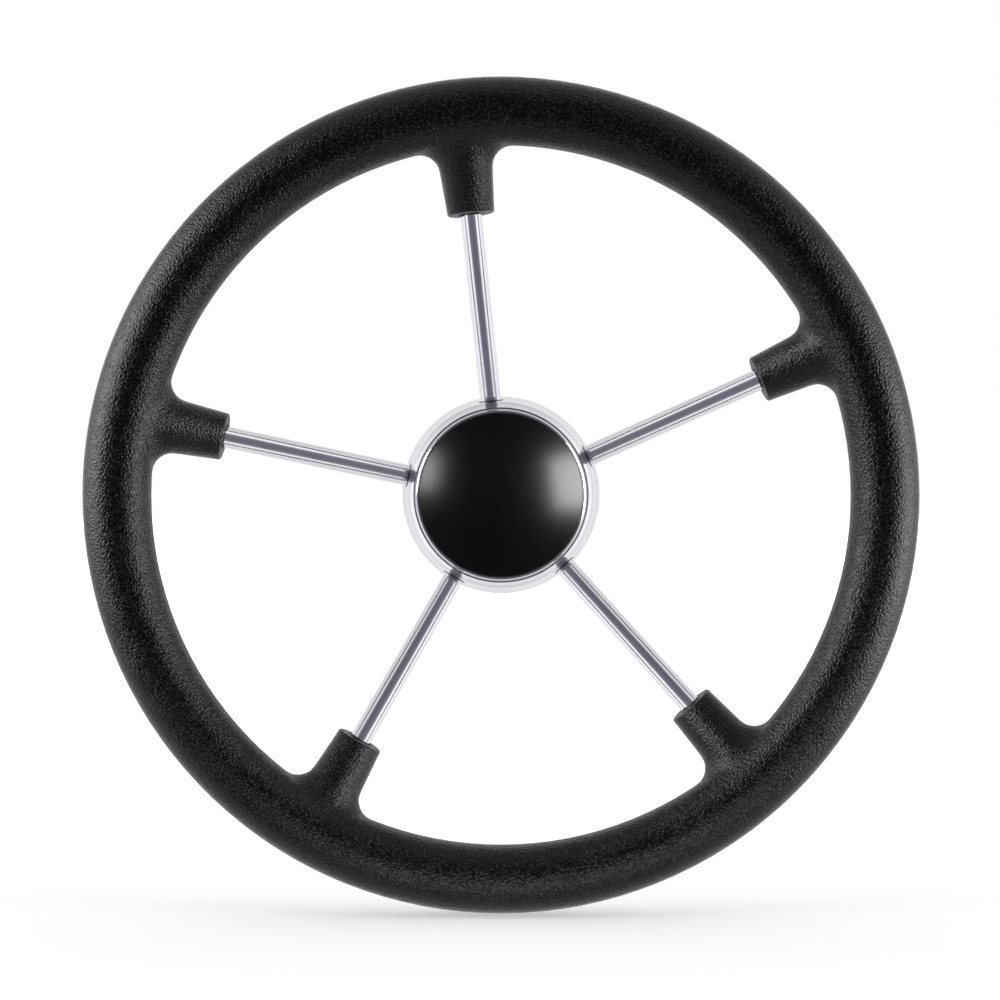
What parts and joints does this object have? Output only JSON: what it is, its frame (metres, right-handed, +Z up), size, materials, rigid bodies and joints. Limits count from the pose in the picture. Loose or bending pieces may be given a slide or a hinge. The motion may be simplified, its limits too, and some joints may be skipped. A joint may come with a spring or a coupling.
{
  "type": "boat steering wheel",
  "caption": "Dished marine steering wheel: round moulded grip with sleeves on slim stainless spokes, pressed hub with a domed cap, and a tapered, keyed shaft bore.",
  "frame": {"origin": "centre of the boss's rear face, on the shaft axis, where the wheel goes on to the helm shaft", "axes": "+Y along the shaft, away from the driver; the driver's side faces -Y; +Z up along the top spoke; +X to the driver's right"},
  "size_m": [0.343, 0.1074, 0.343],
  "materials": {
    "grip": "integral-skin polyurethane with a fine leather grain",
    "polished_steel": "mirror-polished stainless steel",
    "turned_steel": "fine-turned stainless steel",
    "mill_steel": "mill-finished stainless tube",
    "cap": "satin-gloss moulded plastic"
  },
  "bodies": {
    "root": {"grip": "grip", "rim_tube": "mill_steel", "hub_boss": "turned_steel", "hub_shell": "polished_steel", "centre_cap": "cap", "spoke_1": "polished_steel", "spoke_2": "polished_steel", "spoke_3": "polished_steel", "spoke_4": "polished_steel", "spoke_5": "polished_steel"}
  },
  "joints": []
}
